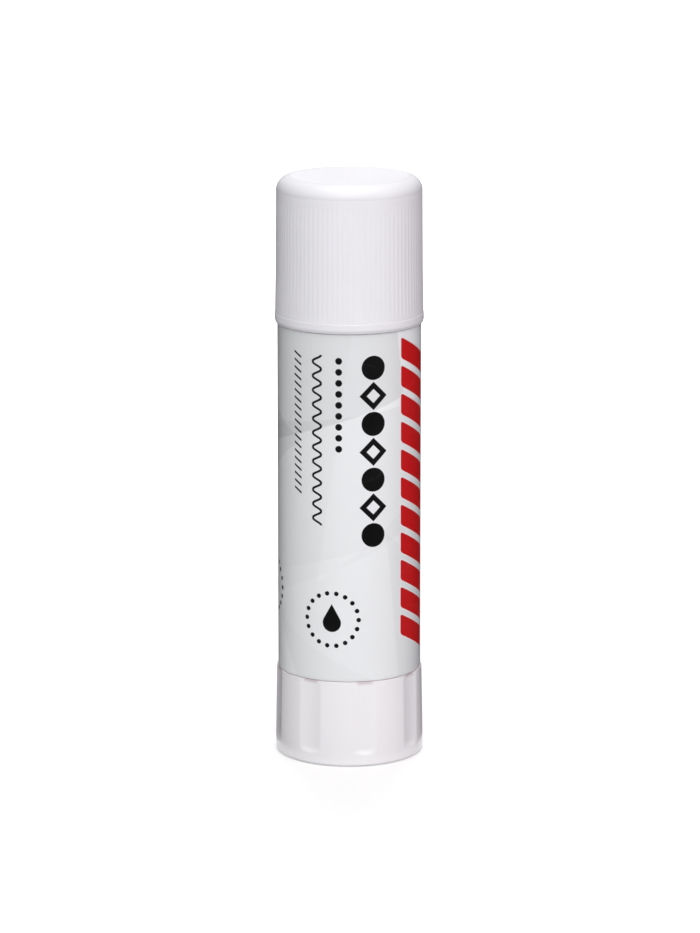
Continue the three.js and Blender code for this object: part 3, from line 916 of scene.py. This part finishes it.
def wave_row(tree, x, up, start, count, pitch, size, stroke):
    steepest = FULL_TURN * size / pitch
    phase = times(tree, minus(tree, up, start), FULL_TURN / pitch)
    line = times(tree, calc(tree, "COSINE", phase), size)
    slope = times(tree, calc(tree, "SINE", phase), steepest)
    steepness = calc(tree, "SQRT", calc(tree, "MULTIPLY_ADD", slope, slope, 1.0))
    off_line = calc(tree, "DIVIDE", minus(tree, x, line), steepness)
    return ink_row(tree, to_stroke(tree, off_line, stroke), up, start, start + count * pitch)


def slanted_row(tree, x, up, start, count, pitch, size, stroke):
    y = repeated(tree, calc(tree, "MULTIPLY_ADD", x, 0.55, up), start, pitch)
    to_mark = to_bar(tree, x, y, size, stroke / 2, 0.08)
    return ink_row(tree, to_mark, up, start, start + count * pitch)


def dotted_ring(tree, x, y, ring_radius, dots, dot_radius):
    """A ring of dots round a solid drop: a round belly, and straight flanks that touch it."""
    belly_radius, belly_drop = 1.7, 0.6
    flank_lean, flank_reach, flank_foot = 0.556, 1.612, 0.226
    half_step = math.pi / dots
    aside = calc(tree, "WRAP", calc(tree, "ARCTAN2", y, x), half_step, -half_step)
    off_ring = minus(tree, to_middle(tree, x, y), ring_radius)
    along = times(tree, aside, ring_radius)
    ring = inked(tree, minus(tree, to_middle(tree, off_ring, along), dot_radius))
    belly = minus(tree, to_middle(tree, x, calc(tree, "ADD", y, belly_drop)), belly_radius)
    flank = calc(tree, "MULTIPLY_ADD", y, flank_lean, calc(tree, "ABSOLUTE", x))
    past_flank = minus(tree, flank, flank_reach)
    tip = larger(tree, past_flank, minus(tree, flank_foot, y))
    return larger(tree, ring, inked(tree, calc(tree, "MINIMUM", belly, tip)))


def facet(tree, across, up, corner, first_edge, second_edge, softness=0.2):
    """A wedge between two straight edges that leave one corner, a little soft at its edges."""
    x = minus(tree, across, corner[0])
    y = minus(tree, up, corner[1])
    sides = []
    for degrees, turn in ((first_edge, 1.0), (second_edge, -1.0)):
        edge = math.radians(degrees)
        rise = times(tree, y, turn * math.cos(edge))
        past = calc(tree, "MULTIPLY_ADD", x, -turn * math.sin(edge), rise)
        sides.append(smooth_step(tree, past, -softness, softness))
    return times(tree, *sides)


def printed_film(name):
    material, tree, shader = new_finish(name)
    print_place = add_node(tree, "ShaderNodeUVMap", uv_map="print").outputs[0]
    across_cm, up_cm, _ = add_node(tree, "ShaderNodeSeparateXYZ", print_place).outputs
    across = times(tree, across_cm, 10.0)
    up = times(tree, up_cm, 10.0)
    place = own_place(tree)

    def beside(middle):
        return minus(tree, across, middle)

    # Silver-grey ground with large faint facets
    paper = (0.905, 0.935, 0.945, 1)
    ground = blend(tree, noise(tree, place, 40, 1.0), tinted(paper, 0.98), tinted(paper, 1.03))
    for corner, first_edge, second_edge, tone in (
        ((11.0, 52.0), 98, 198, 0.84),
        ((-9.5, 44.0), 152, 214, 0.89),
        ((-6.0, 18.0), 38, 82, 1.03),
        ((-20.0, 13.0), -28, 24, 1.03),
        ((7.0, 27.0), -84, -38, 0.95),
        ((36.0, 34.0), 130, 196, 0.97),
        ((24.0, 50.0), -70, -12, 1.04),
        ((-34.0, 44.0), -62, 8, 0.92),
    ):
        wedge = facet(tree, across, up, corner, first_edge, second_edge)
        toned = vector_calc(tree, "MULTIPLY", ground, (tone, tone, tone))
        ground = blend(tree, wedge, ground, toned)

    # Red band of slanted bars with a fine white border
    bar_pitch = 5.1
    from_band = beside(14.5)
    slanted = calc(tree, "MULTIPLY_ADD", from_band, 0.5, up)
    in_bar = repeated(tree, slanted, 0.0, bar_pitch)
    to_red = to_bar(tree, from_band, in_bar, half_width=4.2, half_height=1.9, corner=0.5)
    band = within_limits(tree, slanted, bar_pitch, 12 * bar_pitch)
    border = times(tree, inked(tree, minus(tree, to_red, 0.26)), band)
    red = times(tree, inked(tree, to_red), band)
    picture = blend(tree, border, ground, (0.88, 0.88, 0.885, 1))
    picture = blend(tree, red, picture, (0.60, 0.004, 0.006, 1))

    # Black rows of plain shapes, rings of dots, and a white panel ruled in grey at the back
    prints = [
        bold_column(tree, beside(4.4), up, first=27.1, last=57.7, pitch=5.1, size=2.2),
        dot_row(tree, beside(-1.9), up, start=42.0, count=9, pitch=2.0, size=0.62),
        wave_row(tree, beside(-6.0), up, start=28.8, count=12, pitch=2.6, size=0.8, stroke=0.42),
        slanted_row(tree, beside(-10.2), up, start=34.1, count=19, pitch=1.38, size=0.85,
                    stroke=0.40),
    ]
    for middle, height in ((-3.2, 11.5), (-20.5, 15.5), (24.5, 11.5), (-35.0, 30.0)):
        x, y = beside(middle), minus(tree, up, height)
        prints.append(dotted_ring(tree, x, y, ring_radius=4.9, dots=18, dot_radius=0.42))
    black = 0.0
    for shape in prints:
        black = larger(tree, shape, black)
    picture = blend(tree, black, picture, (0.003, 0.003, 0.0033, 1))
    line_grey = (0.30, 0.31, 0.33, 1)
    back_panel = to_bar(
        tree, beside(33.0), minus(tree, up, 40.0), half_width=4.5, half_height=17.0, corner=0.8
    )
    picture = blend(tree, inked(tree, back_panel), picture, (0.90, 0.90, 0.90, 1))
    panel_frame = inked(tree, to_stroke(tree, back_panel, 0.3))
    picture = blend(tree, times(tree, panel_frame, 0.8), picture, line_grey)
    from_rule = calc(tree, "ABSOLUTE", repeated(tree, up, 0.0, 2.6))
    on_rule = calc(tree, "LESS_THAN", from_rule, 0.14)
    panel_rules = times(tree, on_rule, inked(tree, calc(tree, "ADD", back_panel, 1.2)))
    picture = blend(tree, times(tree, panel_rules, 0.8), picture, line_grey)

    # Painted brownish shade along the top and bottom edges, where the cap's rim and the knob's lip
    # meet the film, hair scratches, gloss, slight waves, and varnish on the paper
    from_end = calc(tree, "MINIMUM", up, minus(tree, label_top - label_bottom, up))
    painted_edge_shade = smooth_step(tree, from_end, 0.05, 0.5, 0.14, 0.0)
    picture = blend(tree, painted_edge_shade, picture, (0.42, 0.35, 0.33, 1))
    hands = use_group(tree, handling, place)
    scratched = times(tree, hands["Scratches"], 0.35)
    picture = blend(tree, scratched, picture, (0.72, 0.72, 0.73, 1))
    ink = larger(tree, red, black)
    gloss = calc(tree, "MULTIPLY_ADD", ink, -0.03, 0.32)
    gloss = calc(tree, "MULTIPLY_ADD", hands["Rubbed"], 0.07, gloss)
    gloss = calc(tree, "MULTIPLY_ADD", noise(tree, place, 700, 2.0), 0.05, gloss)
    waves = noise(tree, place, 210, 2.0, 0.5, (1, 1, 0.3))
    fibre = noise(tree, place, 4200, 2.0)
    relief = calc(tree, "MULTIPLY_ADD", fibre, 0.08, waves)
    relief = calc(tree, "MULTIPLY_ADD", ink, 0.25, relief)
    add_relief(tree, shader, relief, 0.4, 0.02)
    varnish = calc(tree, "MULTIPLY_ADD", ink, -0.7, 1.0)
    feed_named(tree, shader, {
        "Base Color": picture, "Roughness": gloss, "IOR": 1.45,
        "Coat Weight": varnish, "Coat Roughness": 0.28,
    })
    return material


label_film = printed_film("printed satin film")
label_piece = film_strip("wrapped_label", 384, 42)
label_piece.data.materials.append(label_film)
settle(label_piece)
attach(label_piece, "barrel")
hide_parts("label")


# Cap
# A white moulded cup, pushed over the barrel's neck and held by a small ridge inside. Ninety fine
# upright ribs run between its rounded top edge and the plain band at its rim.

cap_bottom, cap_top = (corner.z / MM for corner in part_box("cap"))
cap_rim_radius = 13.46
cap_waist_radius = 13.24
cap_top_radius = 13.13
cap_waist = cap_bottom + 9.8
cap_bore = 12.3
cap_ridge = 0.15
cap_ridge_foot, cap_ridge_top = 80.6, 81.6
cap_roof = 1.3
cap_ribs = 90
rib_height = 0.036
rib_valley = 0.46
rib_flank = 0.44
rim_band = 1.7
top_edge = 2.5

cap_outline = soften(
    [
        (0, cap_top - cap_roof, 0, 0),
        (cap_bore, cap_top - cap_roof, 0.5, 0),
        (cap_bore, cap_ridge_top, 0.1, 0),
        (cap_bore - cap_ridge, cap_ridge_top - 0.15, 0.1, 0),
        (cap_bore - cap_ridge, cap_ridge_foot + 0.15, 0.1, 0),
        (cap_bore, cap_ridge_foot, 0.1, 0),
        (cap_bore, cap_bottom, 0.15, 0),
        (cap_rim_radius - 0.2, cap_bottom, 0.2, 0),
        (cap_rim_radius, cap_bottom + 0.6, 0.5, 0),
        (cap_rim_radius, cap_bottom + rim_band, 0.12, 0),
        (cap_rim_radius - 0.08, cap_bottom + rim_band + 0.08, 0.05, 1),
        (cap_waist_radius, cap_waist, 8.0, 1),
        (cap_top_radius, cap_top, top_edge, 1),
        (0, cap_top, 0, 1),
    ],
    closed=False,
)
cap_plastic = moulded_plastic("white cap plastic", (0.80, 0.798, 0.83), 0.32, 0.004)
cap_plastic.node_tree.nodes["Principled BSDF"].inputs["IOR"].default_value = 1.42
cap_piece = turned("ribbed_cap", cap_outline, False, 720)
press(
    cap_piece, rib_tree(), cap_plastic, count=cap_ribs, first_angle=math.pi / cap_ribs,
    at_radius=cap_waist_radius, width=rib_valley, flank=rib_flank, depth=-rib_height,
    bottom=cap_bottom + rim_band + 0.1, top=cap_top - top_edge - 1.0, run_out=0.5,
)
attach(cap_piece, "cap")
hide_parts("cap")


# Floor, light and camera
# A pale floor that keeps the stick's soft shadow, wide lamps on all sides and overhead, a faint
# sky, and a dark screen round and under the stick. The screen shows only in reflections, where it
# keeps the stick's edges and its print deep.

scene = bpy.context.scene
scene.view_settings.view_transform = "Standard"


def face_towards(holder, place, aim):
    holder.location = place
    holder.rotation_euler = (aim - place).to_track_quat("-Z", "Y").to_euler()


def lamp(name, place, aim_height, width, power):
    light = bpy.data.lights.new(name, "AREA")
    light.shape = "SQUARE"
    light.size = width
    light.energy = power
    holder = put_in_scene(name, light)
    face_towards(holder, Vector(place), Vector((0, 0, aim_height)))
    return holder


def seen_directly(tree):
    """1 for what is seen, also in a mirror or through glass, and 0 for light on the object."""
    rays = add_node(tree, "ShaderNodeLightPath").outputs
    mirrored = larger(tree, rays["Is Glossy Ray"], rays["Is Transmission Ray"])
    return larger(tree, rays["Is Camera Ray"], mirrored)


floor = meshed("floor", [(-4, -4, 0), (4, -4, 0), (4, 4, 0), (-4, 4, 0)], [(0, 1, 2, 3)])
floor_paint, floor_tree, floor_shader = new_finish("pale floor")

# The floor glows white, but less round the stick, where its shadow falls
floor_place = own_place(floor_tree)
from_stick = vector_calc(floor_tree, "LENGTH", floor_place)
glow = smooth_step(floor_tree, from_stick, 0.03, 0.4, at_start=0.53, at_end=1.0)
feed_named(floor_tree, floor_shader, {
    "Base Color": (0.42, 0.415, 0.42, 1), "Roughness": 0.9, "Specular IOR Level": 0.0,
    "Emission Color": (1, 1, 1, 1),
    "Emission Strength": times(floor_tree, glow, seen_directly(floor_tree)),
})
floor.data.materials.append(floor_paint)

# White where it is seen, and only a faint light on the stick
world = bpy.data.worlds.new("pale sky")
scene.world = world
world.use_nodes = True
sky_tree = world.node_tree
sky = sky_tree.nodes["Background"]
sky_light = 0.06
sky_seen = seen_directly(sky_tree)
sky_colour = blend(sky_tree, sky_seen, (1, 0.84, 0.94, 1), (1, 1, 1, 1))
sky_strength = calc(sky_tree, "MULTIPLY_ADD", sky_seen, 1.0 - sky_light, sky_light)
feed_named(sky_tree, sky, {"Color": sky_colour, "Strength": sky_strength})

screen_posts = 48
screen_section = ((0.016, 0.0008), (0.09, 0.0008), (0.09, 0.35))
screen_points, screen_faces = [], []
for post in range(screen_posts):
    turn = FULL_TURN * post / screen_posts
    for radius, height in screen_section:
        screen_points.append((radius * math.sin(turn), -radius * math.cos(turn), height))
    for low in (3 * post, 3 * post + 1):
        following = (low + 3) % (3 * screen_posts)
        screen_faces.append((low, low + 1, following + 1, following))
screen = meshed("dark_screen", screen_points, screen_faces)
screen_cloth, cloth_tree, cloth_shader = new_finish("black screen cloth")
feed_named(cloth_tree, cloth_shader, {
    "Base Color": (0.01, 0.01, 0.01, 1), "Specular IOR Level": 0.0,
})
screen.data.materials.append(screen_cloth)
screen.visible_camera = False
screen.visible_diffuse = False
screen.visible_shadow = False
screen.visible_transmission = False

lamp("overhead lamp", (0.0, -0.10, 0.80), 0.08, 0.6, 4.1)
lamp("front lamp", (0.0, -0.98, 0.66), 0.05, 0.9, 8.7)
lamp("left lamp", (-0.80, -0.95, 0.45), 0.05, 0.6, 2.0)
right_lamp = lamp("right lamp", (0.87, -0.5, 0.35), 0.05, 0.5, 2.1)
right_lamp.data.color = (1.0, 0.88, 0.94)
back_lamp = lamp("back lamp", (0.0, 1.0, 0.55), 0.05, 0.8, 12.0)
back_lamp.visible_glossy = False

view_distance = 0.80
view_angle = math.radians(12.8)
film_width = 36.0
focal_pixels, picture_height = 4405, 933
aim = Vector((0.00013, 0, 0.05285))
camera = bpy.data.cameras.new("camera")
camera.sensor_width = film_width
camera.lens = film_width * focal_pixels / picture_height
camera.clip_start = 0.05
camera.clip_end = 20.0
viewer = put_in_scene("camera", camera)
off_aim = view_distance * Vector((0, -math.cos(view_angle), math.sin(view_angle)))
face_towards(viewer, aim + off_aim, aim)
scene.camera = viewer
